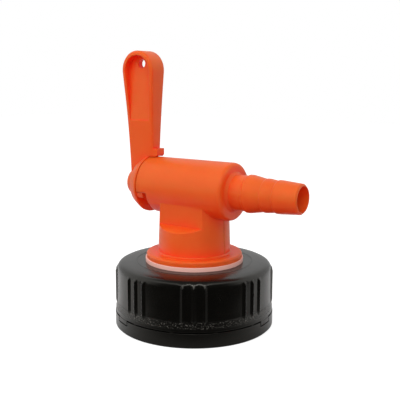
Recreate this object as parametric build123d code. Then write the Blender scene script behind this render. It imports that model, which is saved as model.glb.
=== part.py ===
"""Jerrycan tap: a screw cap with a tamper ring carries a moulded tap, whose plug is turned by a lever.

+Z runs up the cap's axis from the centre of its rim, and +X along the barrel to the spout. Lengths are in mm.
"""
import os
from math import asin, cos, degrees, pi, radians, sin, sqrt, tan
from build123d import *

# rounded edges are turned as a few flats, each about this steep to the next
ROUND_STEP_DEG = 30.0

# screw cap
CAP_HEIGHT = 28.4
CAP_TOP_WALL = 3.2
CAP_WALL = 3.7
CAP_DRAFT = 0.2
CAP_TOP_FALL = 0.5
CAP_EDGE_ROUND = 3.4
SKIRT_BAND = 1.6
FLARE_HEIGHT = 2.3
FLARE_STEP = 0.65
THREAD_LENGTH = 8.8
THREAD_RELIEF = 1.0
TOP_GROOVE_R = 25.8
TOP_GROOVE_WIDTH = 0.5
TOP_GROOVE_DEPTH = 0.3

# grip flutes, in groups round the cap, with one group facing FLUTE_DIRECTION
FLUTE_GROUPS = 8
FLUTES_IN_GROUP = 3
FLUTE_STEP_DEG = 7.5
FLUTE_WIDTH = 2.3
FLUTE_DEPTH = 1.2
FLUTE_DIRECTION_DEG = -55.1
FLUTE_FOOT_GAP = 0.7
FLUTE_TOP_GAP = 2.8
FLUTE_TOP_SLOPE = 2.4

# tamper ring below the cap, with the slit between them stepping down round each tab
RING_R = 35.5
RING_STEP = 0.2
RING_WALL = 2.2
RING_HEIGHT = 6.3
RING_EDGE_CHAMFER = 0.6
SLIT = 0.5
TAB_DROP = 2.0
TAB_HALF_DEG = 7.0
TABS = 3
BRIDGES = 12
BRIDGE_WIDTH = 1.4
BRIDGE_INSET = 0.5
BEAD_REACH = 1.2
BEAD_TOP_Z = 3.6

# flat seals
GASKET_THICKNESS = 2.0
GASKET_WIDTH = 6.0
GASKET_GAP = 0.25
WASHER_R = 21.85
WASHER_THICKNESS = 1.8

# stem and its nut
STEM_R = 13.2
STEM_HOLE_GAP = 0.2
STEM_PROUD = 1.8
STEM_BORE_R = 9.8
STEM_CHAMFER = 0.8
NUT_FLATS = 36.0
NUT_HEIGHT = 7.4
NUT_THREAD_GAP = 0.05
NUT_CHAMFER = 1.2

# flange and neck
FLANGE_R = 21.35
FLANGE_THICKNESS = 2.4
FLANGE_EDGE_ROUND = 0.9
NECK_R = 16.15
NECK_TOP_R = 15.1
NECK_ROOT_FLARE = 0.6
NECK_BORE_R = 6.8
NECK_BORE_RISE = 8.4
SPANNER_FLATS = 21.2
LEDGE_HEIGHT = 10.6
LEDGE_RISE = 2.2

# barrel
BARREL_RISE = 28.5
BARREL_R = 12.5
BARREL_START_X = -23.4
BARREL_END_X = 21.1
BARREL_END_ROUND = 1.6
PLUG_BORE_R = 9.6
PLUG_SEAT_WALL = 6.1

# spout and its three barbs, each a step up and a taper down towards the tip
SPOUT_LENGTH = 32.0
SPOUT_BORE_R = 5.4
SPOUT_ROOT_R = 7.6
SPOUT_ROOT_FLARE = 1.2
SPOUT_TIP_R = 6.35
SPOUT_TIP_CHAMFER = 0.7
BARB_STARTS = (6.9, 15.1, 20.7)
BARB_CRESTS_R = (8.1, 7.15, 7.0)
BARB_FEET_R = (6.95, 6.6, SPOUT_TIP_R)
BARB_RISE = 0.6
BARB_LAND = 1.2

# plug that turns in the barrel
PLUG_CLEARANCE = 0.06
PLUG_END_GAP = 0.4
PLUG_END_CHAMFER = 0.8
PLUG_WATER_R = 6.4
PLUG_WATER_DEPTH = 22.6
SNAP_BEAD_INSET = 10.4
SNAP_BEAD_HEIGHT = 0.5
SNAP_BEAD_HALF = 0.8
SNAP_BEAD_GAP = 0.1

# hub outside the barrel
HUB_GAP = 0.35
HUB_R = 12.8
HUB_EDGE = 0.8
HUB_LENGTH = 7.65
HUB_NOSE_R = 7.1
HUB_BULGE = 0.75
DOME_R = 6.9
DOME_HEIGHT = 5.8

# quarter-turn stop: a lug on the plug runs in a notch in the barrel's rim
LEVER_TRAVEL_DEG = 90.0
NOTCH_START_DEG = 12.0
NOTCH_DEPTH = 5.3
LUG_DEG = 11.0
LUG_LENGTH = 3.4
LUG_SINK = 0.3
STOP_GAP = 0.3

# lever
LEVER_FOOT_OUT = 4.4
LEVER_HEAD_OUT = 5.05
LEVER_REACH = 59.9
LEVER_FOOT_RISE = 2.0
LEVER_FOOT_WIDTH = 13.7
LEVER_HEAD_WIDTH = 17.9
LEVER_FOOT_THICKNESS = 4.5
LEVER_HEAD_THICKNESS = 10.0
LEVER_EDGE_BEVEL = 0.75
LEVER_BARREL_GAP = 0.35
WEB_THICKNESS = 2.0
RIM_WALL = 2.0
POCKET_LENGTH = 31.0
POCKET_FOOT_DEPTH = 0.3
POCKET_ROUND = 0.8
LEVER_HOLE_R = 2.0
LEVER_HOLE_SHIFT = 0.4
LEVER_HOLE_DROP = 5.75
NUB_REACH = 4.75
NUB_WIDTH = 5.2
NUB_HEIGHT = 3.4
NUB_UNDERCUT = 1.0

# worked-out places: the cap's radii from the ring inwards, heights from the rim up, then along the barrel
SKIRT_R = RING_R - RING_STEP
CAP_WALL_R = SKIRT_R - FLARE_STEP
CAP_WALL_TOP_R = CAP_WALL_R - CAP_DRAFT
THREAD_ROOT_R = CAP_WALL_TOP_R - CAP_WALL
SKIRT_Z = RING_HEIGHT + SLIT
SKIRT_TOP_Z = SKIRT_Z + SKIRT_BAND
FLARE_TOP_Z = SKIRT_TOP_Z + FLARE_HEIGHT
FLUTE_FOOT_Z = FLARE_TOP_Z + FLUTE_FOOT_GAP
THREAD_TOP_Z = SKIRT_Z + THREAD_LENGTH
CAP_INSIDE_Z = CAP_HEIGHT - CAP_TOP_WALL
CAP_EDGE_Z = CAP_HEIGHT - CAP_TOP_FALL
STEM_HOLE_R = STEM_R + STEM_HOLE_GAP
NUT_Z = CAP_INSIDE_Z - NUT_HEIGHT
STEM_END_Z = NUT_Z - STEM_PROUD
WASHER_TOP_Z = CAP_HEIGHT + WASHER_THICKNESS
FLANGE_TOP_Z = WASHER_TOP_Z + FLANGE_THICKNESS
NECK_BORE_START_Z = FLANGE_TOP_Z + NECK_BORE_RISE
LEDGE_Z = FLANGE_TOP_Z + LEDGE_HEIGHT
BARREL_Z = FLANGE_TOP_Z + BARREL_RISE
BARREL_AXIS = Axis((0, 0, BARREL_Z), (1, 0, 0))
SPOUT_TIP_X = BARREL_END_X + SPOUT_LENGTH
PLUG_SEAT_X = BARREL_END_X - PLUG_SEAT_WALL
PLUG_R = PLUG_BORE_R - PLUG_CLEARANCE
PLUG_END_X = PLUG_SEAT_X - PLUG_END_GAP
SNAP_BEAD_X = BARREL_START_X + SNAP_BEAD_INSET
HUB_FACE_X = BARREL_START_X - HUB_GAP
HUB_NOSE_X = HUB_FACE_X - HUB_LENGTH
LEVER_FOOT_X = HUB_FACE_X - LEVER_FOOT_OUT
LEVER_FOOT_Z = BARREL_Z + LEVER_FOOT_RISE
LEVER_HEAD_X = HUB_FACE_X - LEVER_HEAD_OUT
LEVER_TOP_Z = BARREL_Z + LEVER_REACH
LEVER_HOLE_X = LEVER_HEAD_X + LEVER_HOLE_SHIFT
LEVER_HOLE_Z = LEVER_TOP_Z - LEVER_HOLE_DROP
POCKET_FOOT_Z = LEVER_TOP_Z - POCKET_LENGTH
NUB_REACH_X = HUB_FACE_X + NUB_REACH


def standing(outline, start_deg=0, turn_deg=360):
    """A solid turned about the cap's axis from corners given as (radius, height)."""
    face = make_face(Polyline([(r, 0, z) for r, z in outline], close=True))
    return Rot(0, 0, start_deg) * revolve(face, Axis.Z, turn_deg)


def lying(outline, start_deg=0, turn_deg=360):
    """A solid turned about the barrel's axis from corners given as (place along X, radius).

    Angles are measured from straight up, through the -Y side.
    """
    face = make_face(Polyline([(x, 0, BARREL_Z + r) for x, r in outline], close=True))
    return revolve(face, BARREL_AXIS, turn_deg).rotate(BARREL_AXIS, start_deg)


def tube(outer_r, inner_r, low_z, high_z, start_deg=0, turn_deg=360):
    """An upright ring, or a stretch of one."""
    outline = [(inner_r, low_z), (outer_r, low_z), (outer_r, high_z), (inner_r, high_z)]
    return standing(outline, start_deg, turn_deg)


def rod(start_x, end_x, radius, start_deg=0, turn_deg=360):
    """A round bar on the barrel's axis, or a slice of one."""
    return lying([(start_x, 0), (end_x, 0), (end_x, radius), (start_x, radius)], start_deg, turn_deg)


def bend(centre, start, turn_deg):
    """Points of a bend about a centre, from its start through a turn, a few flats apart."""
    flats = max(2, round(abs(turn_deg) / ROUND_STEP_DEG))
    arm = Vector(start) - Vector(centre)
    points = [Vector(centre) + arm.rotate(Axis.Z, turn_deg * step / flats) for step in range(flats + 1)]
    return [(point.X, point.Y) for point in points]


def rounded(before, corner, after, radius):
    """Points that round off an outline's corner, between the points before and after it."""
    corner = Vector(corner)
    back = (Vector(before) - corner).normalized()
    onward = (Vector(after) - corner).normalized()
    half_deg = back.get_angle(onward) / 2
    centre = corner + (back + onward).normalized() * (radius / sin(radians(half_deg)))
    start = corner + back * (radius / tan(radians(half_deg)))
    way = 1 if back.cross(onward).Z < 0 else -1
    return bend(centre, start, way * (180 - 2 * half_deg))


def grip_flutes():
    """The vee grooves in the cap's side, each closed by a facet at the top and running out at the foot."""
    root_r = CAP_WALL_TOP_R - FLUTE_DEPTH
    mouth_r = SKIRT_R + 1
    reach = mouth_r - root_r
    half_mouth = reach * FLUTE_WIDTH / 2 / FLUTE_DEPTH
    vee = make_face(Polyline((root_r, 0), (mouth_r, -half_mouth), (mouth_r, half_mouth), close=True))
    foot = Pos(0, 0, FLUTE_FOOT_Z) * vee
    facet_z = CAP_EDGE_Z - FLUTE_TOP_GAP
    top_z = facet_z + reach * FLUTE_TOP_SLOPE
    over_facet = Polyline((root_r, 0, facet_z), (mouth_r, 0, top_z), (root_r, 0, top_z), close=True)
    groove = extrude(foot, top_z - FLUTE_FOOT_Z) - extrude(make_face(over_facet), half_mouth, both=True)
    groove += extrude(foot, reach * sqrt(2), dir=(1, 0, -1))
    grooves = []
    for group in range(FLUTE_GROUPS):
        for place in range(FLUTES_IN_GROUP):
            angle = FLUTE_DIRECTION_DEG + group * 360 / FLUTE_GROUPS
            angle += (place - (FLUTES_IN_GROUP - 1) / 2) * FLUTE_STEP_DEG
            grooves.append(Rot(0, 0, angle) * groove)
    return grooves


def tamper_slit():
    """The gap between skirt and ring, which steps down round each tab."""
    outer_r = RING_R + 1
    inner_r = THREAD_ROOT_R - 1
    low_z = RING_HEIGHT - TAB_DROP
    gap_deg = degrees(SLIT / RING_R)
    tab_deg = 2 * TAB_HALF_DEG
    between_deg = 360 / TABS - tab_deg + 2 * gap_deg
    cuts = []
    for tab in range(TABS):
        start = FLUTE_DIRECTION_DEG + 180 - TAB_HALF_DEG + tab * 360 / TABS
        end = start + tab_deg - gap_deg
        cuts += [
            tube(outer_r, inner_r, low_z, SKIRT_Z, start, gap_deg),
            tube(outer_r, inner_r, low_z, low_z + SLIT, start, tab_deg),
            tube(outer_r, inner_r, low_z, SKIRT_Z, end, gap_deg),
            tube(outer_r, inner_r, RING_HEIGHT, SKIRT_Z, end, between_deg),
        ]
    return cuts


def tamper_bridges():
    """The small bridges that hold the ring until the cap is first opened."""
    depth = RING_WALL - 2 * BRIDGE_INSET
    bridge = Pos(RING_R - RING_WALL / 2, 0, RING_HEIGHT + SLIT / 2) * Box(depth, BRIDGE_WIDTH, 2 * SLIT)
    start = FLUTE_DIRECTION_DEG + 180 / BRIDGES
    return [Rot(0, 0, start + place * 360 / BRIDGES) * bridge for place in range(BRIDGES)]


def screw_cap():
    """The cap with its tamper ring, one moulding."""
    ring_in = RING_R - RING_WALL
    land_r = THREAD_ROOT_R + THREAD_RELIEF
    slit_z = RING_HEIGHT + SLIT / 2
    groove_out_r = TOP_GROOVE_R + TOP_GROOVE_WIDTH / 2
    groove_in_r = TOP_GROOVE_R - TOP_GROOVE_WIDTH / 2
    wall_foot = (CAP_WALL_R, FLARE_TOP_Z)
    edge = (CAP_WALL_TOP_R, CAP_EDGE_Z)
    top_out = (groove_out_r, CAP_HEIGHT)
    cap = standing([
        (ring_in, 0), (RING_R - RING_EDGE_CHAMFER, 0), (RING_R, RING_EDGE_CHAMFER), (RING_R, slit_z),
        (SKIRT_R, slit_z), (SKIRT_R, SKIRT_TOP_Z), wall_foot,
        *rounded(wall_foot, edge, top_out, CAP_EDGE_ROUND),
        top_out, (TOP_GROOVE_R, CAP_HEIGHT - TOP_GROOVE_DEPTH), (groove_in_r, CAP_HEIGHT),
        (STEM_HOLE_R, CAP_HEIGHT), (STEM_HOLE_R, CAP_INSIDE_Z),
        (land_r, CAP_INSIDE_Z), (land_r, THREAD_TOP_Z), (THREAD_ROOT_R, THREAD_TOP_Z),
        (THREAD_ROOT_R, SKIRT_Z), (ring_in, SKIRT_Z), (ring_in, BEAD_TOP_Z),
        (ring_in - BEAD_REACH, BEAD_TOP_Z)])
    return cap - tamper_slit() + tamper_bridges() - grip_flutes()


def cap_gasket():
    """The flat ring that seals the cap on the can's mouth."""
    outer_r = THREAD_ROOT_R + THREAD_RELIEF - GASKET_GAP
    return tube(outer_r, outer_r - GASKET_WIDTH, CAP_INSIDE_Z - GASKET_THICKNESS, CAP_INSIDE_Z)


def flange_washer():
    """The pale ring that seals the flange on the cap."""
    return tube(WASHER_R, STEM_HOLE_R, CAP_HEIGHT, WASHER_TOP_Z)


def back_nut():
    """The nut inside the cap that clamps the tap to it."""
    corner_r = NUT_FLATS / 2 / cos(pi / 6)
    block = extrude(Pos(0, 0, NUT_Z) * RegularPolygon(corner_r, 6), NUT_HEIGHT)
    drop = NUT_CHAMFER / 2
    turned = standing([(0, NUT_Z), (corner_r - NUT_CHAMFER, NUT_Z), (corner_r, NUT_Z + drop),
                       (corner_r, CAP_INSIDE_Z), (0, CAP_INSIDE_Z)])
    return (block & turned) - Pos(0, 0, NUT_Z) * Cylinder(STEM_R + NUT_THREAD_GAP, 3 * NUT_HEIGHT)


def neck():
    """Flange, neck with its spanner flats, and the stem that goes through the cap."""
    rim_foot = (FLANGE_R, WASHER_TOP_Z)
    rim = (FLANGE_R, FLANGE_TOP_Z)
    root = (NECK_R + NECK_ROOT_FLARE, FLANGE_TOP_Z)
    column = standing([
        (0, STEM_END_Z), (STEM_R - STEM_CHAMFER, STEM_END_Z), (STEM_R, STEM_END_Z + STEM_CHAMFER),
        (STEM_R, WASHER_TOP_Z), rim_foot, *rounded(rim_foot, rim, root, FLANGE_EDGE_ROUND), root,
        (NECK_R, FLANGE_TOP_Z + NECK_ROOT_FLARE), (NECK_TOP_R, BARREL_Z), (0, BARREL_Z)])
    half = SPANNER_FLATS / 2
    drop = LEDGE_RISE / (NECK_R - half)
    far = NECK_R + 1
    over_z = BARREL_Z + 1
    beside = make_face(Polyline((0, half, LEDGE_Z + LEDGE_RISE), (0, far, LEDGE_Z - drop),
                                (0, far, over_z), (0, half, over_z), close=True))
    flat = extrude(beside, far, both=True)
    return column - flat - mirror(flat, Plane.XZ)


def spout():
    """The barrel's outside and the barbed spout, turned as one."""
    rim = (BARREL_START_X, BARREL_R)
    end = (BARREL_END_X, BARREL_R)
    root = (BARREL_END_X, SPOUT_ROOT_R + SPOUT_ROOT_FLARE)
    outline = [(BARREL_START_X, 0), rim, *rounded(rim, end, root, BARREL_END_ROUND), root,
               (BARREL_END_X + SPOUT_ROOT_FLARE, SPOUT_ROOT_R),
               (BARREL_END_X + BARB_STARTS[0], SPOUT_ROOT_R)]
    ends = BARB_STARTS[1:] + (SPOUT_LENGTH - SPOUT_TIP_CHAMFER,)
    for start, crest, foot, end in zip(BARB_STARTS, BARB_CRESTS_R, BARB_FEET_R, ends):
        rise_x = BARREL_END_X + start + BARB_RISE
        outline += [(rise_x, crest), (rise_x + BARB_LAND, crest), (BARREL_END_X + end, foot)]
    outline += [(SPOUT_TIP_X, SPOUT_TIP_R - SPOUT_TIP_CHAMFER), (SPOUT_TIP_X, 0)]
    return lying(outline)


def snap_ring(gap):
    """The ridge round the plug that keeps it in the barrel, or with a gap the groove that it runs in."""
    half = SNAP_BEAD_HALF + gap
    height = SNAP_BEAD_HEIGHT + gap
    root_r = PLUG_R - SNAP_BEAD_HEIGHT
    return lying([(SNAP_BEAD_X - 2 * half, root_r), (SNAP_BEAD_X, PLUG_R + height),
                  (SNAP_BEAD_X + 2 * half, root_r)])


def stop_angles():
    """Start and end of the notch and of the lug at rest, in degrees from straight up through the -Y side."""
    gap_deg = degrees(STOP_GAP / PLUG_BORE_R)
    notch_start = 90 + NOTCH_START_DEG
    lug_start = notch_start + gap_deg
    notch_end = lug_start + LUG_DEG + LEVER_TRAVEL_DEG + gap_deg
    return notch_start, notch_end, lug_start


def tap_body():
    """The tap's one moulding: stem, flange, neck, barrel and spout, with the waterway through them."""
    body = neck() + spout()
    body -= rod(BARREL_START_X - 1, PLUG_SEAT_X, PLUG_BORE_R)
    body -= rod(PLUG_SEAT_X - 1, SPOUT_TIP_X + 1, SPOUT_BORE_R)
    body -= standing([(0, STEM_END_Z - 1), (STEM_BORE_R, STEM_END_Z - 1), (STEM_BORE_R, NECK_BORE_START_Z),
                      (NECK_BORE_R, NECK_BORE_START_Z + STEM_BORE_R - NECK_BORE_R), (NECK_BORE_R, BARREL_Z),
                      (0, BARREL_Z)])
    body -= snap_ring(SNAP_BEAD_GAP)
    notch_start, notch_end, _ = stop_angles()
    notch_x = BARREL_START_X + NOTCH_DEPTH
    return body - rod(BARREL_START_X - 1, notch_x, BARREL_R + 2, notch_start, notch_end - notch_start)


def lever_face():
    """The lever's outline: upright at the foot, widening along two long arcs that run into the round head."""
    head_r = LEVER_HEAD_WIDTH / 2
    head_z = LEVER_TOP_Z - head_r
    rise = head_z - LEVER_FOOT_Z

    def side(way):
        """The foot corner on one side, the point where its arc meets the head, and the arc's radius."""
        foot_x = LEVER_FOOT_X + way * LEVER_FOOT_WIDTH / 2
        inset = abs(foot_x - LEVER_HEAD_X)
        arc_r = (inset ** 2 + rise ** 2 - head_r ** 2) / (2 * (head_r - inset))
        share = head_r / (arc_r + head_r)
        meet = (LEVER_HEAD_X + way * share * (inset + arc_r), head_z - share * rise)
        return (foot_x, LEVER_FOOT_Z), meet, arc_r

    left_foot, left_meet, left_r = side(-1)
    right_foot, right_meet, right_r = side(1)
    outline = Line(left_foot, right_foot) + RadiusArc(right_foot, right_meet, right_r)
    outline += ThreePointArc(right_meet, (LEVER_HEAD_X, LEVER_TOP_Z), left_meet)
    outline += RadiusArc(left_meet, left_foot, left_r)
    return make_face(outline)


def lever():
    """The handle: a thickening flat with a round head, with a pocket in each face that deepens towards it."""
    outline = lever_face()
    blade = extrude(Plane.XZ * outline, LEVER_HEAD_THICKNESS, both=True)
    foot_half, head_half = LEVER_FOOT_THICKNESS / 2, LEVER_HEAD_THICKNESS / 2
    wedge = Polyline((-foot_half, BARREL_Z), (foot_half, BARREL_Z), (head_half, LEVER_TOP_Z),
                     (-head_half, LEVER_TOP_Z), close=True)
    blade = blade & extrude(Plane.YZ.offset(LEVER_HEAD_X) * make_face(wedge), LEVER_HEAD_WIDTH, both=True)
    faces = blade.faces().sort_by(Axis.Y)
    lowest_z = LEVER_FOOT_Z + LEVER_EDGE_BEVEL
    around = (faces[0].edges() + faces[-1].edges()).filter_by(lambda e: e.center().Z > lowest_z)
    blade = chamfer(around, LEVER_EDGE_BEVEL)
    below = Rectangle(2 * LEVER_HEAD_WIDTH, LEVER_TOP_Z, align=(Align.CENTER, Align.MAX))
    below = Pos(LEVER_HEAD_X, POCKET_FOOT_Z) * below
    pocket = extrude(Plane.XZ * (offset(outline, -RIM_WALL) - below), LEVER_HEAD_THICKNESS, both=True)
    pocket = fillet(pocket.edges().filter_by(Axis.Y).sort_by(Axis.Z)[:2], POCKET_ROUND)
    taper = (head_half - foot_half) / LEVER_REACH
    web_foot = foot_half + taper * (POCKET_FOOT_Z - BARREL_Z) - POCKET_FOOT_DEPTH
    web_head = WEB_THICKNESS / 2
    web = Polyline((-web_foot, POCKET_FOOT_Z), (web_foot, POCKET_FOOT_Z), (web_head, LEVER_TOP_Z),
                   (-web_head, LEVER_TOP_Z), close=True)
    pocket -= extrude(Plane.YZ.offset(LEVER_HEAD_X) * make_face(web), LEVER_HEAD_WIDTH, both=True)
    hole = Plane.XZ * Pos(LEVER_HOLE_X, LEVER_HOLE_Z) * Circle(LEVER_HOLE_R)
    return blade - pocket - extrude(hole, LEVER_HEAD_THICKNESS, both=True)


def nub():
    """The small beak at the lever's foot that overhangs the barrel's rim."""
    low_z = BARREL_Z + BARREL_R
    high_z = low_z + LEVER_BARREL_GAP + NUB_HEIGHT
    beak = Polyline((LEVER_FOOT_X, low_z), (NUB_REACH_X - NUB_UNDERCUT, low_z),
                    (NUB_REACH_X, low_z + NUB_UNDERCUT), (NUB_REACH_X, high_z), (LEVER_FOOT_X, high_z),
                    close=True)
    return extrude(Plane.XZ * make_face(beak), NUB_WIDTH / 2, both=True)


def hub():
    """The bell outside the barrel with the dome on its nose."""
    dome_x = HUB_NOSE_X - DOME_HEIGHT
    ball_r = (DOME_R ** 2 + DOME_HEIGHT ** 2) / (2 * DOME_HEIGHT)
    dome = bend((dome_x + ball_r, 0), (dome_x, 0), -degrees(asin(DOME_R / ball_r)))
    nose = (HUB_NOSE_X, HUB_NOSE_R)
    bell = SagittaArc(nose, (HUB_FACE_X - HUB_EDGE, HUB_R), HUB_BULGE)
    side = bend(bell.arc_center, nose, -degrees(bell.length / bell.radius))
    return lying([*dome, *side, (HUB_FACE_X, HUB_R), (HUB_FACE_X, 0)])


def plug_lever():
    """The plug, hub and lever, one moulding that turns in the barrel."""
    plug = lying([(HUB_FACE_X, 0), (PLUG_END_X, 0), (PLUG_END_X, PLUG_R - PLUG_END_CHAMFER),
                  (PLUG_END_X - PLUG_END_CHAMFER, PLUG_R), (HUB_FACE_X, PLUG_R)])
    plug += snap_ring(0)
    plug -= rod(PLUG_END_X - PLUG_WATER_DEPTH, PLUG_END_X + 1, PLUG_WATER_R)
    plug -= standing([(0, BARREL_Z - BARREL_R), (PLUG_WATER_R, BARREL_Z - BARREL_R), (PLUG_WATER_R, BARREL_Z),
                      (0, BARREL_Z)])
    over_barrel = rod(HUB_FACE_X, BARREL_END_X, BARREL_R + LEVER_BARREL_GAP)
    handle = lever() + nub() - over_barrel
    _, _, lug_start = stop_angles()
    lug = rod(HUB_FACE_X - HUB_EDGE, HUB_FACE_X + LUG_LENGTH, BARREL_R - LUG_SINK, lug_start, LUG_DEG)
    return plug + hub() + handle + lug


PIECES = {
    "screw_cap": screw_cap,
    "cap_gasket": cap_gasket,
    "flange_washer": flange_washer,
    "back_nut": back_nut,
    "tap_body": tap_body,
    "plug_lever": plug_lever,
}

os.makedirs("parts", exist_ok=True)
for name, make in PIECES.items():
    export_step(make(), f"parts/{name}.step")
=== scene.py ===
import math

import bmesh
import bpy
from mathutils import Matrix, Vector


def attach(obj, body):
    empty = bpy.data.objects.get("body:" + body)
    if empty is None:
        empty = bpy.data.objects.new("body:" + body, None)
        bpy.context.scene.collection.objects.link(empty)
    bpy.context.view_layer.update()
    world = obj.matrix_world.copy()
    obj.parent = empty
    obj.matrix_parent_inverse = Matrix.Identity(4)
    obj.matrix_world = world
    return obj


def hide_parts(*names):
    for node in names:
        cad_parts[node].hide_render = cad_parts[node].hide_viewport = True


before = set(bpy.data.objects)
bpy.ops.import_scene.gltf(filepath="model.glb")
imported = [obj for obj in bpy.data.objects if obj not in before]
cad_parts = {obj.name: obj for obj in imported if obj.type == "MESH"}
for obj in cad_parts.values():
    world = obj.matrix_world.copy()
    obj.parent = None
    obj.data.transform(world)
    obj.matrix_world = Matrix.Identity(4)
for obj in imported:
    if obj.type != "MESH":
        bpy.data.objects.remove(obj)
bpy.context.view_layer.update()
scene = bpy.context.scene


# Screw cap: cap and tamper ring are one moulding of satin black polyethylene, with the grain of a
# spark-eroded mould on the flare, dotted with pale painted highlights. The solid's vee flutes are drawn out
# to raised ribs, its shoulder is made tighter, and the can's thread is a ridge inside the skirt.

CAP_BLACK = (0.0036, 0.0033, 0.0026, 1)
CAP_BLACK_DEEP = (0.0024, 0.0022, 0.0017, 1)
CAP_ROUGHNESS = 0.25
CAP_SHEEN_LEVEL = 0.50
CAP_SHINE = (1.0, 0.97, 0.88, 1)
CAP_GRAIN = 1.0e-6
CAP_EDGE_SOFTNESS = 0.0004
FLARE_LOW = 0.0084
FLARE_HIGH = 0.0107
FLARE_BLUR = 0.0006
FLARE_GRAIN_SCALE = 2100.0
FLARE_GRAIN_DETAIL = 3.0
FLARE_GRAIN = 2.0e-4
# Painted highlights: pale specks put into the flare's colour where its grain stands highest.
FLARE_PAINTED_GLINT = (0.15, 0.14, 0.125, 1)
FLARE_PAINTED_GLINT_SHARE = (0.56, 0.74)
CAP_SMOOTH_UNDER = math.radians(31)
CLOUD_DETAIL = 4.0
CLOUD_RANGE = (0.3, 0.7)
SHINE_PATCH_SCALE = 260.0
SHINE_PATCH_DETAIL = 3.0
GRAIN_DETAIL = 2.0
NOISE_MEAN = 0.5
FULL_BUMP = 1.0
EDGE_SAMPLES = 8
LARGE_FACE_WEIGHT = 100
WELD = 1e-6


def new_material(name):
    """An empty node material with its output."""
    material = bpy.data.materials.new(name)
    material.use_nodes = True
    material.node_tree.nodes.clear()
    output = material.node_tree.nodes.new("ShaderNodeOutputMaterial")
    return material, material.node_tree.nodes, material.node_tree.links, output


def moulded_skin():
    """Group: soft clouds in a moulding's colour, patches of more or less shine, and a fine grain."""
    group = bpy.data.node_groups.new("moulded_skin", "ShaderNodeTree")
    for name, kind, value in (("Colour", "NodeSocketColor", (0.5, 0.5, 0.5, 1)),
                              ("Deep Colour", "NodeSocketColor", (0.4, 0.4, 0.4, 1)),
                              ("Cloud Scale", "NodeSocketFloat", 90.0),
                              ("Grain Scale", "NodeSocketFloat", 2500.0),
                              ("Roughness", "NodeSocketFloat", 0.4),
                              ("Roughness Spread", "NodeSocketFloat", 0.1)):
        group.interface.new_socket(name, in_out="INPUT", socket_type=kind).default_value = value
    for name, kind in (("Colour", "NodeSocketColor"), ("Roughness", "NodeSocketFloat"),
                       ("Height", "NodeSocketFloat")):
        group.interface.new_socket(name, in_out="OUTPUT", socket_type=kind)
    nodes, links = group.nodes, group.links
    given = nodes.new("NodeGroupInput")
    made = nodes.new("NodeGroupOutput")
    place = nodes.new("ShaderNodeTexCoord")
    clouds = nodes.new("ShaderNodeTexNoise")
    clouds.inputs["Detail"].default_value = CLOUD_DETAIL
    links.new(place.outputs["Object"], clouds.inputs["Vector"])
    links.new(given.outputs["Cloud Scale"], clouds.inputs["Scale"])
    spread = nodes.new("ShaderNodeMapRange")
    spread.inputs["From Min"].default_value, spread.inputs["From Max"].default_value = CLOUD_RANGE
    links.new(clouds.outputs["Fac"], spread.inputs["Value"])
    colour = nodes.new("ShaderNodeMix")
    colour.data_type = "RGBA"
    links.new(spread.outputs["Result"], colour.inputs["Factor"])
    links.new(given.outputs["Deep Colour"], colour.inputs["A"])
    links.new(given.outputs["Colour"], colour.inputs["B"])
    links.new(colour.outputs["Result"], made.inputs["Colour"])
    patches = nodes.new("ShaderNodeTexNoise")
    patches.inputs["Detail"].default_value = SHINE_PATCH_DETAIL
    patches.inputs["Scale"].default_value = SHINE_PATCH_SCALE
    links.new(place.outputs["Object"], patches.inputs["Vector"])
    centred = nodes.new("ShaderNodeMath")
    centred.operation = "SUBTRACT"
    centred.inputs[1].default_value = NOISE_MEAN
    links.new(patches.outputs["Fac"], centred.inputs[0])
    shine = nodes.new("ShaderNodeMath")
    shine.operation = "MULTIPLY_ADD"
    links.new(centred.outputs["Value"], shine.inputs[0])
    links.new(given.outputs["Roughness Spread"], shine.inputs[1])
    links.new(given.outputs["Roughness"], shine.inputs[2])
    links.new(shine.outputs["Value"], made.inputs["Roughness"])
    grain = nodes.new("ShaderNodeTexNoise")
    grain.inputs["Detail"].default_value = GRAIN_DETAIL
    links.new(place.outputs["Object"], grain.inputs["Vector"])
    links.new(given.outputs["Grain Scale"], grain.inputs["Scale"])
    links.new(grain.outputs["Fac"], made.inputs["Height"])
    return group


MOULDED_SKIN = moulded_skin()


def plastic(name, colour, deep_colour, roughness, sheen_level, grain_depth, edge_softness):
    """A moulded plastic on the shared skin with softened edges; gives its shader and grain bump as well."""
    material, nodes, links, output = new_material(name)
    skin = nodes.new("ShaderNodeGroup")
    skin.node_tree = MOULDED_SKIN
    skin.inputs["Colour"].default_value = colour
    skin.inputs["Deep Colour"].default_value = deep_colour
    skin.inputs["Roughness"].default_value = roughness
    bump = nodes.new("ShaderNodeBump")
    bump.inputs["Strength"].default_value = FULL_BUMP
    bump.inputs["Distance"].default_value = grain_depth
    links.new(skin.outputs["Height"], bump.inputs["Height"])
    soft_edges = nodes.new("ShaderNodeBevel")
    soft_edges.samples = EDGE_SAMPLES
    soft_edges.inputs["Radius"].default_value = edge_softness
    links.new(soft_edges.outputs["Normal"], bump.inputs["Normal"])
    surface = nodes.new("ShaderNodeBsdfPrincipled")
    surface.inputs["Specular IOR Level"].default_value = sheen_level
    links.new(skin.outputs["Colour"], surface.inputs["Base Color"])
    links.new(skin.outputs["Roughness"], surface.inputs["Roughness"])
    links.new(bump.outputs["Normal"], surface.inputs["Normal"])
    links.new(surface.outputs["BSDF"], output.inputs["Surface"])
    return material, surface, bump


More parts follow.
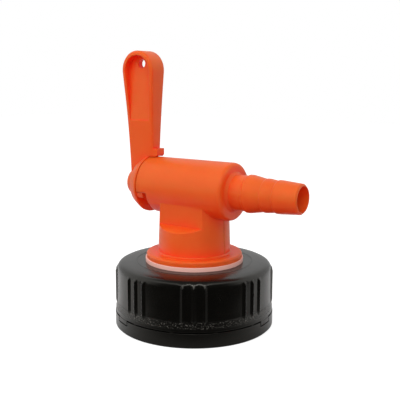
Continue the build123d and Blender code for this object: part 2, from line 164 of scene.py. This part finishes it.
def band_mask(nodes, links, low, high, blur):
    """A mask that is one between two heights and fades out past them."""
    place = nodes.new("ShaderNodeTexCoord")
    height = nodes.new("ShaderNodeSeparateXYZ")
    links.new(place.outputs["Object"], height.inputs["Vector"])
    sides = []
    for start, end in ((low - blur, low), (high + blur, high)):
        side = nodes.new("ShaderNodeMapRange")
        side.inputs["From Min"].default_value = start
        side.inputs["From Max"].default_value = end
        links.new(height.outputs["Z"], side.inputs["Value"])
        sides.append(side)
    both = nodes.new("ShaderNodeMath")
    both.operation = "MULTIPLY"
    links.new(sides[0].outputs["Result"], both.inputs[0])
    links.new(sides[1].outputs["Result"], both.inputs[1])
    return place, both


def cap_plastic():
    """The cap's black, with the coarse grain of the flare bumped in and pale painted highlights speckled on
    it.
    """
    material, surface, bump = plastic("cap_black", CAP_BLACK, CAP_BLACK_DEEP, CAP_ROUGHNESS, CAP_SHEEN_LEVEL,
                                      CAP_GRAIN, CAP_EDGE_SOFTNESS)
    nodes, links = material.node_tree.nodes, material.node_tree.links
    place, flare = band_mask(nodes, links, FLARE_LOW, FLARE_HIGH, FLARE_BLUR)
    sparks = nodes.new("ShaderNodeTexNoise")
    sparks.inputs["Scale"].default_value = FLARE_GRAIN_SCALE
    sparks.inputs["Detail"].default_value = FLARE_GRAIN_DETAIL
    links.new(place.outputs["Object"], sparks.inputs["Vector"])
    flare_grain_and_glint_mask = nodes.new("ShaderNodeMath")
    flare_grain_and_glint_mask.operation = "MULTIPLY"
    links.new(sparks.outputs["Fac"], flare_grain_and_glint_mask.inputs[0])
    links.new(flare.outputs["Value"], flare_grain_and_glint_mask.inputs[1])
    # Painted highlights: the colour turns pale where the flare's grain stands highest.
    painted_glints = nodes.new("ShaderNodeMapRange")
    painted_glints.inputs["From Min"].default_value, painted_glints.inputs["From Max"].default_value = FLARE_PAINTED_GLINT_SHARE
    links.new(flare_grain_and_glint_mask.outputs["Value"], painted_glints.inputs["Value"])
    colour = nodes.new("ShaderNodeMix")
    colour.data_type = "RGBA"
    colour.inputs["B"].default_value = FLARE_PAINTED_GLINT
    links.new(painted_glints.outputs["Result"], colour.inputs["Factor"])
    links.new(surface.inputs["Base Color"].links[0].from_socket, colour.inputs["A"])
    links.new(colour.outputs["Result"], surface.inputs["Base Color"])
    rough = nodes.new("ShaderNodeBump")
    rough.inputs["Strength"].default_value = FULL_BUMP
    rough.inputs["Distance"].default_value = FLARE_GRAIN
    links.new(flare_grain_and_glint_mask.outputs["Value"], rough.inputs["Height"])
    links.new(bump.outputs["Normal"], rough.inputs["Normal"])
    links.new(rough.outputs["Normal"], surface.inputs["Normal"])
    surface.inputs["Specular Tint"].default_value = CAP_SHINE
    return material


def new_piece(name, bm, material, body):
    """A finished piece from a bmesh, riding on a body."""
    mesh = bpy.data.meshes.new(name)
    bm.to_mesh(mesh)
    bm.free()
    mesh.materials.append(material)
    piece = bpy.data.objects.new(name, mesh)
    scene.collection.objects.link(piece)
    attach(piece, body)
    return piece


def welded_copy(node):
    """A copy of a solid's mesh with its loose triangles joined."""
    bm = bmesh.new()
    bm.from_mesh(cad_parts[node].data)
    bmesh.ops.remove_doubles(bm, verts=bm.verts, dist=WELD)
    return bm


def dressed_solid(node, bm, body, material, smooth_under, crisp_past_x=None, crisp_under=None):
    """A solid's welded copy, smooth between its real edges; past a place along X smaller steps stay crisp."""
    for face in bm.faces:
        face.smooth = True
        face.material_index = 0
    for edge in bm.edges:
        crisp = crisp_past_x is not None and min(vert.co.x for vert in edge.verts) > crisp_past_x
        edge.smooth = edge.calc_face_angle(0.0) < (crisp_under if crisp else smooth_under)
    piece = new_piece(node + "_skin", bm, material, body)
    even = piece.modifiers.new("even", "WEIGHTED_NORMAL")
    even.keep_sharp = True
    even.weight = LARGE_FACE_WEIGHT
    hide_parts(node)


CAP_THREAD_R = 0.03075
CAP_THREAD_DEPTH = 0.0013
CAP_THREAD_ROOT = 0.0030
CAP_THREAD_CREST = 0.0012
CAP_THREAD_SINK = 0.0004
CAP_THREAD_LOW = 0.0088
CAP_THREAD_PITCH = 0.0040
CAP_THREAD_TURNS = 1.2
TURN_STEPS = 144


def thread_ridge(name, root_r, crest_r, root_width, crest_width, low, pitch, turns, material, body):
    """A screw thread: its section wound up round the cap's axis, with closed ends."""
    bm = bmesh.new()
    corners = ((root_r, -root_width / 2), (crest_r, -crest_width / 2), (crest_r, crest_width / 2),
               (root_r, root_width / 2))
    section = bm.faces.new([bm.verts.new((r, 0, low + z)) for r, z in corners])
    steps = round(turns * TURN_STEPS)
    bmesh.ops.spin(bm, geom=[section, *section.edges, *section.verts], cent=(0, 0, 0), axis=(0, 0, 1),
                   dvec=(0, 0, pitch / TURN_STEPS), angle=2 * math.pi * turns, steps=steps)
    bmesh.ops.remove_doubles(bm, verts=bm.verts, dist=WELD)
    open_edges = [edge for edge in bm.edges if edge.is_boundary]
    if open_edges:
        bmesh.ops.holes_fill(bm, edges=open_edges)
    bmesh.ops.recalc_face_normals(bm, faces=bm.faces)
    new_piece(name, bm, material, body)


FLUTE_ROOT_R = 0.03325
FLUTE_ROOT_REACH = 2e-5
FLUTE_LOW = 0.0100
FLUTE_HIGH = 0.0260
RIB_RIDGE_R = 0.0353
RIB_TIP_DROP = 0.0004
SHOULDER_WAS = ((0.03449, 0.02473), (0.03405, 0.02636), (0.03289, 0.02758), (0.03129, 0.02809))
SHOULDER_IS = ((0.03449, 0.02473), (0.03438, 0.02636), (0.03367, 0.02740), (0.03240, 0.02802))
SHOULDER_REACH = 3e-5
SHARE_SLACK = 0.01


def tighter_shoulder(out, height):
    """Where a point of the solid's wide shoulder lies on the cap's tighter one; any other point stays."""
    for step in range(len(SHOULDER_WAS) - 1):
        (out_0, height_0), (out_1, height_1) = SHOULDER_WAS[step:step + 2]
        share = (height - height_0) / (height_1 - height_0)
        within = -SHARE_SLACK < share < 1 + SHARE_SLACK
        if within and abs(out - out_0 - share * (out_1 - out_0)) < SHOULDER_REACH:
            (out_0, height_0), (out_1, height_1) = SHOULDER_IS[step:step + 2]
            return out_0 + share * (out_1 - out_0), height_0 + share * (height_1 - height_0)
    return out, height


def ribbed_cap():
    """The cap's copy: the root of each vee flute is drawn outward to a rib, and the shoulder is tightened."""
    bm = welded_copy("screw_cap")
    for vert in bm.verts:
        out = vert.co.xy.length
        if abs(out - FLUTE_ROOT_R) < FLUTE_ROOT_REACH and FLUTE_LOW < vert.co.z < FLUTE_HIGH:
            vert.co.xy *= RIB_RIDGE_R / out
            if vert.co.z > (FLUTE_LOW + FLUTE_HIGH) / 2:
                vert.co.z -= RIB_TIP_DROP
        elif out > 0:
            tight_out, vert.co.z = tighter_shoulder(out, vert.co.z)
            vert.co.xy *= tight_out / out
    return bm


cap_black = cap_plastic()
dressed_solid("screw_cap", ribbed_cap(), "tap", cap_black, CAP_SMOOTH_UNDER)
thread_ridge("cap_thread", CAP_THREAD_R + CAP_THREAD_SINK, CAP_THREAD_R - CAP_THREAD_DEPTH, CAP_THREAD_ROOT,
             CAP_THREAD_CREST, CAP_THREAD_LOW, CAP_THREAD_PITCH, CAP_THREAD_TURNS, cap_black, "tap")


# Gasket: a flat ring of soft white foam, punched from sheet. It is pressed up against the inside of the
# cap's top and seals on the can's mouth.

GASKET_WHITE = (0.72, 0.72, 0.70, 1)
GASKET_SHADE = (0.62, 0.62, 0.60, 1)
GASKET_ROUGHNESS = 0.75
GASKET_SHEEN_LEVEL = 0.25
GASKET_GRAIN = 3.0e-5
GASKET_EDGE_SOFTNESS = 0.0003
GASKET_SMOOTH_UNDER = math.radians(34)
gasket_white, _, _ = plastic("gasket_white", GASKET_WHITE, GASKET_SHADE, GASKET_ROUGHNESS, GASKET_SHEEN_LEVEL,
                             GASKET_GRAIN, GASKET_EDGE_SOFTNESS)
dressed_solid("cap_gasket", welded_copy("cap_gasket"), "tap", gasket_white, GASKET_SMOOTH_UNDER)


# Flange washer: a pale pink ring of soft plastic, clamped between the tap's flange and the cap's top; part of
# its pink is a painted glow of the orange around it.

# The pink is partly the washer's own tint and partly painted glow from the orange flange.
WASHER_PINK_AND_PAINTED_GLOW = (1.0, 0.57, 0.49, 1)
WASHER_DEEP_PINK_AND_PAINTED_GLOW = (0.98, 0.53, 0.45, 1)
WASHER_ROUGHNESS = 0.55
WASHER_SHEEN_LEVEL = 0.3
WASHER_GRAIN = 2.0e-6
WASHER_EDGE_SOFTNESS = 0.0004
WASHER_SMOOTH_UNDER = math.radians(34)
washer_pink_and_painted_glow, _, _ = plastic("washer_pink_and_painted_glow", WASHER_PINK_AND_PAINTED_GLOW, WASHER_DEEP_PINK_AND_PAINTED_GLOW, WASHER_ROUGHNESS, WASHER_SHEEN_LEVEL,
                            WASHER_GRAIN, WASHER_EDGE_SOFTNESS)
dressed_solid("flange_washer", welded_copy("flange_washer"), "tap", washer_pink_and_painted_glow,
              WASHER_SMOOTH_UNDER)


# Tap body: stem, flange, neck, barrel and barbed spout in one moulding of orange polyethylene, through which
# red light runs; corners, bores and undersides are painted a deeper red as shade. The mould's halves left a
# fine ridge up both sides of the neck, and the stem carries a thread for its nut.

TAP_ORANGE = (0.80, 0.126, 0.015, 1)
TAP_ORANGE_DEEP = (0.77, 0.112, 0.012, 1)
# Painted shade: the deeper red that corners, bores and undersides of the tap are turned towards.
TAP_PAINTED_SHADE_RED = (1.0, 0.030, 0.005, 1)
TAP_PAINTED_SHADE_REACH = 0.008
TAP_PAINTED_SHADE_SHUT = 0.35
TAP_PAINTED_SHADE_OPEN = 0.95
TAP_PAINTED_SHADE_SAMPLES = 8
TAP_PAINTED_UNDERSIDE_SHADE = (-0.7, 0.15)
TAP_PAINTED_UNDERSIDE_SHADE_ORANGE = 0.35
TAP_ROUGHNESS = 0.38
TAP_SHEEN_LEVEL = 0.28
TAP_GRAIN = 1.5e-6
TAP_EDGE_SOFTNESS = 0.0005
TAP_SCATTER_SHARE = 0.5
TAP_SCATTER_SCALE = 1.0
TAP_SCATTER = (0.004, 0.0006, 0.0003)
TAP_SMOOTH_UNDER = math.radians(32)
BARBS_START_X = 0.0275
BARBS_SMOOTH_UNDER = math.radians(12)
tap_orange, tap_surface, _ = plastic("tap_orange", TAP_ORANGE, TAP_ORANGE_DEEP, TAP_ROUGHNESS,
                                     TAP_SHEEN_LEVEL, TAP_GRAIN, TAP_EDGE_SOFTNESS)
tap_surface.inputs["Subsurface Weight"].default_value = TAP_SCATTER_SHARE
tap_surface.inputs["Subsurface Scale"].default_value = TAP_SCATTER_SCALE
tap_surface.inputs["Subsurface Radius"].default_value = TAP_SCATTER


def paint_shade_in_recesses(material, surface):
    """Paints shade and red bounce light into the colour: deeper red in corners, bores and undersides."""
    nodes, links = material.node_tree.nodes, material.node_tree.links
    skin_colour = surface.inputs["Base Color"].links[0].from_socket
    openness = nodes.new("ShaderNodeAmbientOcclusion")
    openness.only_local = True
    openness.samples = TAP_PAINTED_SHADE_SAMPLES
    openness.inputs["Distance"].default_value = TAP_PAINTED_SHADE_REACH
    share = nodes.new("ShaderNodeMapRange")
    share.inputs["From Min"].default_value = TAP_PAINTED_SHADE_SHUT
    share.inputs["From Max"].default_value = TAP_PAINTED_SHADE_OPEN
    links.new(openness.outputs["AO"], share.inputs["Value"])
    # Painted shade on undersides: the more a face looks down, the redder it is painted.
    place = nodes.new("ShaderNodeTexCoord")
    facing = nodes.new("ShaderNodeSeparateXYZ")
    links.new(place.outputs["Normal"], facing.inputs["Vector"])
    upward = nodes.new("ShaderNodeMapRange")
    upward.inputs["From Min"].default_value, upward.inputs["From Max"].default_value = TAP_PAINTED_UNDERSIDE_SHADE
    upward.inputs["To Min"].default_value = TAP_PAINTED_UNDERSIDE_SHADE_ORANGE
    links.new(facing.outputs["Z"], upward.inputs["Value"])
    orange = nodes.new("ShaderNodeMath")
    orange.operation = "MULTIPLY"
    links.new(share.outputs["Result"], orange.inputs[0])
    links.new(upward.outputs["Result"], orange.inputs[1])
    colour = nodes.new("ShaderNodeMix")
    colour.data_type = "RGBA"
    colour.inputs["A"].default_value = TAP_PAINTED_SHADE_RED
    links.new(orange.outputs["Value"], colour.inputs["Factor"])
    links.new(skin_colour, colour.inputs["B"])
    links.new(colour.outputs["Result"], surface.inputs["Base Color"])


paint_shade_in_recesses(tap_orange, tap_surface)
dressed_solid("tap_body", welded_copy("tap_body"), "tap", tap_orange, TAP_SMOOTH_UNDER,
              BARBS_START_X, BARBS_SMOOTH_UNDER)

STEM_THREAD_R = 0.0132
STEM_THREAD_DEPTH = 0.0005
STEM_THREAD_ROOT = 0.0010
STEM_THREAD_CREST = 0.0003
STEM_THREAD_SINK = 0.0003
STEM_THREAD_LOW = 0.0171
STEM_THREAD_PITCH = 0.0014
STEM_THREAD_TURNS = 1.0
thread_ridge("stem_thread", STEM_THREAD_R - STEM_THREAD_SINK, STEM_THREAD_R + STEM_THREAD_DEPTH,
             STEM_THREAD_ROOT, STEM_THREAD_CREST, STEM_THREAD_LOW, STEM_THREAD_PITCH, STEM_THREAD_TURNS,
             tap_orange, "tap")

NECK_FOOT_Z = 0.0334
NECK_TOP_Z = 0.0500
NECK_FOOT_R = 0.01614
NECK_TOP_R = 0.01552
PARTING_WIDTH = 0.0003
PARTING_HEIGHT = 0.00012
PARTING_SINK = 0.0006


def parting_ridge(name, side):
    """The mould's parting line up one side of the neck: a fine bar that leans in with the neck's taper."""
    bm = bmesh.new()
    bmesh.ops.create_cube(bm, size=1.0)
    depth = PARTING_SINK + PARTING_HEIGHT
    bmesh.ops.scale(bm, verts=bm.verts, vec=(depth, PARTING_WIDTH, NECK_TOP_Z - NECK_FOOT_Z))
    middle = PARTING_HEIGHT - depth / 2
    for vert in bm.verts:
        top = vert.co.z > 0
        vert.co.x += middle + (NECK_TOP_R if top else NECK_FOOT_R)
        vert.co.x *= side
        vert.co.z += (NECK_TOP_Z + NECK_FOOT_Z) / 2
    bmesh.ops.recalc_face_normals(bm, faces=bm.faces)
    new_piece(name, bm, tap_orange, "tap")


parting_ridge("neck_parting_spout_side", 1)
parting_ridge("neck_parting_lever_side", -1)


# Back nut: a six-sided nut, moulded in the same orange. It is screwed up the stem inside the cap and clamps
# tap, washer and cap together.

NUT_SMOOTH_UNDER = math.radians(20)
dressed_solid("back_nut", welded_copy("back_nut"), "tap", tap_orange, NUT_SMOOTH_UNDER)


# Plug and lever: plug, hub and handle are one orange moulding, snapped into the barrel. A quarter turn of the
# handle closes the tap.

LEVER_SMOOTH_UNDER = math.radians(50)
dressed_solid("plug_lever", welded_copy("plug_lever"), "lever", tap_orange, LEVER_SMOOTH_UNDER)


# Studio: a white sweep in a tent of soft light. The wall behind the camera and the floor before it mirror
# dark, so upright faces that look that way stay deep in colour and the sides pick up the white.

FLOOR_HALF = 1.5
FLOOR_WHITE = (0.45, 0.45, 0.45, 1)
FLOOR_GLOW = 0.80
COVERED_EDGES = (0.0335, 0.0350)
FRONT_DIRECTION = (0.577, -0.817, 0.0)
SHADE_START = 0.0
SHADE_END = 0.060
SHADE_DEPTH = 0.015
TENT_FRONT = 0.015
TENT_SIDES = 0.95
TENT_BACK = 0.66
TENT_FRONT_EDGES = (0.15, 0.75)
TENT_BACK_EDGES = (-0.9, -0.3)
FRONT_WALL_TOP = (0.45, 0.60)
CEILING_EDGES = (0.75, 0.92)
CEILING = 0.15
AMBIENT = 0.56
BACKDROP = 1.0
TENT_WHITE = (1, 1, 1, 1)


def soft_step(nodes, links, value, low, high, at_low, at_high):
    """A value that goes smoothly from one level to another as a socket goes from low to high."""
    step = nodes.new("ShaderNodeMapRange")
    step.interpolation_type = "SMOOTHSTEP"
    for socket, number in (("From Min", low), ("From Max", high), ("To Min", at_low), ("To Max", at_high)):
        step.inputs[socket].default_value = number
    links.new(value, step.inputs["Value"])
    return step.outputs["Result"]


def towards_front(nodes, links, place):
    """How far a place or direction lies towards the front of the studio."""
    facing = nodes.new("ShaderNodeVectorMath")
    facing.operation = "DOT_PRODUCT"
    facing.inputs[1].default_value = FRONT_DIRECTION
    links.new(place, facing.inputs[0])
    return facing.outputs["Value"]


def make_floor():
    """The white floor, dark under the cap, which keeps the shadow and mirrors darker towards the front."""
    bm = bmesh.new()
    bmesh.ops.create_grid(bm, x_segments=1, y_segments=1, size=FLOOR_HALF)
    mesh = bpy.data.meshes.new("floor")
    bm.to_mesh(mesh)
    bm.free()
    floor = bpy.data.objects.new("floor", mesh)
    scene.collection.objects.link(floor)
    material, nodes, links, output = new_material("floor_white")
    path = nodes.new("ShaderNodeLightPath")
    place = nodes.new("ShaderNodeTexCoord")
    paper = nodes.new("ShaderNodeBsdfDiffuse")
    paper.inputs["Color"].default_value = FLOOR_WHITE
    from_axis = nodes.new("ShaderNodeVectorMath")
    from_axis.operation = "LENGTH"
    links.new(place.outputs["Object"], from_axis.inputs[0])
    glow = nodes.new("ShaderNodeEmission")
    links.new(soft_step(nodes, links, from_axis.outputs["Value"], *COVERED_EDGES, 0, FLOOR_GLOW),
              glow.inputs["Strength"])
    seen = nodes.new("ShaderNodeAddShader")
    links.new(paper.outputs["BSDF"], seen.inputs[0])
    links.new(glow.outputs["Emission"], seen.inputs[1])
    mirrored = nodes.new("ShaderNodeBsdfDiffuse")
    forward = towards_front(nodes, links, place.outputs["Object"])
    shade = soft_step(nodes, links, forward, SHADE_START, SHADE_END, TENT_SIDES, SHADE_DEPTH)
    links.new(shade, mirrored.inputs["Color"])
    lighting = nodes.new("ShaderNodeMixShader")
    links.new(path.outputs["Is Glossy Ray"], lighting.inputs["Fac"])
    links.new(paper.outputs["BSDF"], lighting.inputs[1])
    links.new(mirrored.outputs["BSDF"], lighting.inputs[2])
    whole = nodes.new("ShaderNodeMixShader")
    links.new(path.outputs["Is Camera Ray"], whole.inputs["Fac"])
    links.new(lighting.outputs["Shader"], whole.inputs[1])
    links.new(seen.outputs["Shader"], whole.inputs[2])
    links.new(whole.outputs["Shader"], output.inputs["Surface"])
    mesh.materials.append(material)


def make_tent():
    """World light: white to the camera, a tent with a dark front to shiny faces, even light to the rest."""
    world = bpy.data.worlds.new("tent")
    scene.world = world
    world.use_nodes = True
    nodes, links = world.node_tree.nodes, world.node_tree.links
    nodes.clear()
    output = nodes.new("ShaderNodeOutputWorld")
    path = nodes.new("ShaderNodeLightPath")
    place = nodes.new("ShaderNodeTexCoord")
    facing = towards_front(nodes, links, place.outputs["Generated"])
    height = nodes.new("ShaderNodeSeparateXYZ")
    links.new(place.outputs["Generated"], height.inputs["Vector"])
    tent = nodes.new("ShaderNodeMix")
    tent.inputs["B"].default_value = TENT_SIDES
    links.new(soft_step(nodes, links, height.outputs["Z"], *FRONT_WALL_TOP, 0, 1), tent.inputs["Factor"])
    walls = nodes.new("ShaderNodeMath")
    walls.operation = "MULTIPLY"
    links.new(soft_step(nodes, links, facing, *TENT_FRONT_EDGES, TENT_SIDES, TENT_FRONT), walls.inputs[0])
    links.new(soft_step(nodes, links, facing, *TENT_BACK_EDGES, TENT_BACK, 1), walls.inputs[1])
    links.new(walls.outputs["Value"], tent.inputs["A"])
    below_ceiling = nodes.new("ShaderNodeMath")
    below_ceiling.operation = "MULTIPLY"
    links.new(tent.outputs["Result"], below_ceiling.inputs[0])
    ceiling = soft_step(nodes, links, height.outputs["Z"], *CEILING_EDGES, 1, CEILING)
    links.new(ceiling, below_ceiling.inputs[1])
    to_rest = nodes.new("ShaderNodeMix")
    to_rest.inputs["A"].default_value = AMBIENT
    links.new(path.outputs["Is Glossy Ray"], to_rest.inputs["Factor"])
    links.new(below_ceiling.outputs["Value"], to_rest.inputs["B"])
    to_camera = nodes.new("ShaderNodeMix")
    to_camera.inputs["B"].default_value = BACKDROP
    links.new(path.outputs["Is Camera Ray"], to_camera.inputs["Factor"])
    links.new(to_rest.outputs["Result"], to_camera.inputs["A"])
    light = nodes.new("ShaderNodeBackground")
    light.inputs["Color"].default_value = TENT_WHITE
    links.new(to_camera.outputs["Result"], light.inputs["Strength"])
    links.new(light.outputs["Background"], output.inputs["Surface"])


def soft_box(name, place, aim, width, height, watts, mirrored):
    """A rectangular lamp at a place, turned towards a point, which shiny faces may mirror."""
    lamp = bpy.data.lights.new(name, "AREA")
    lamp.shape = "RECTANGLE"
    lamp.size = width
    lamp.size_y = height
    lamp.energy = watts
    holder = bpy.data.objects.new(name, lamp)
    scene.collection.objects.link(holder)
    holder.visible_glossy = mirrored
    holder.location = place
    holder.rotation_euler = (Vector(aim) - Vector(place)).to_track_quat("-Z", "Y").to_euler()


make_floor()
make_tent()
soft_box("top_box", place=(-0.05, -0.10, 0.75), aim=(0, 0, 0.05), width=0.7, height=0.5, watts=1.8,
         mirrored=False)
soft_box("left_box", place=(-0.35, -0.65, 0.40), aim=(0, 0, 0.06), width=0.5, height=0.6, watts=1.35,
         mirrored=False)
soft_box("front_strip", place=(0.32, -0.45, 0.60), aim=(0, 0, 0.03), width=0.35, height=0.09, watts=0.8,
         mirrored=True)
soft_box("fill_box", place=(0.35, -0.50, 0.12), aim=(0, 0, 0.06), width=0.4, height=0.3, watts=0.6,
         mirrored=False)


# Camera: at the photograph's place, a little above the barrel and to the spout's side, turned slightly down
# so that the cap's top shows.

CAMERA_PLACE = (0.17303, -0.24507, 0.1070)
CAMERA_YAW = math.radians(-0.462)
CAMERA_PITCH = math.radians(9.729)
CAMERA_ROLL = math.radians(0.272)
SENSOR = 36.0
FOCAL_PIXELS = 684.92
IMAGE_PIXELS = 400.0
CLIP_START = 0.01


def aim_camera():
    """The camera, turned from its place towards the cap's axis, then pitched down and rolled."""
    heading = math.atan2(-CAMERA_PLACE[1], -CAMERA_PLACE[0]) + CAMERA_YAW
    level = math.cos(CAMERA_PITCH)
    forward = Vector((math.cos(heading) * level, math.sin(heading) * level, -math.sin(CAMERA_PITCH)))
    right = forward.cross(Vector((0, 0, 1))).normalized()
    up = right.cross(forward)
    turn = Matrix.Rotation(-CAMERA_ROLL, 3, forward)
    axes = Matrix((turn @ right, turn @ up, -forward)).transposed()
    lens = bpy.data.cameras.new("camera")
    lens.sensor_width = SENSOR
    lens.lens = SENSOR * FOCAL_PIXELS / IMAGE_PIXELS
    lens.clip_start = CLIP_START
    camera = bpy.data.objects.new("camera", lens)
    scene.collection.objects.link(camera)
    camera.matrix_world = Matrix.Translation(CAMERA_PLACE) @ axes.to_4x4()
    scene.camera = camera
    scene.view_settings.view_transform = "Standard"


aim_camera()
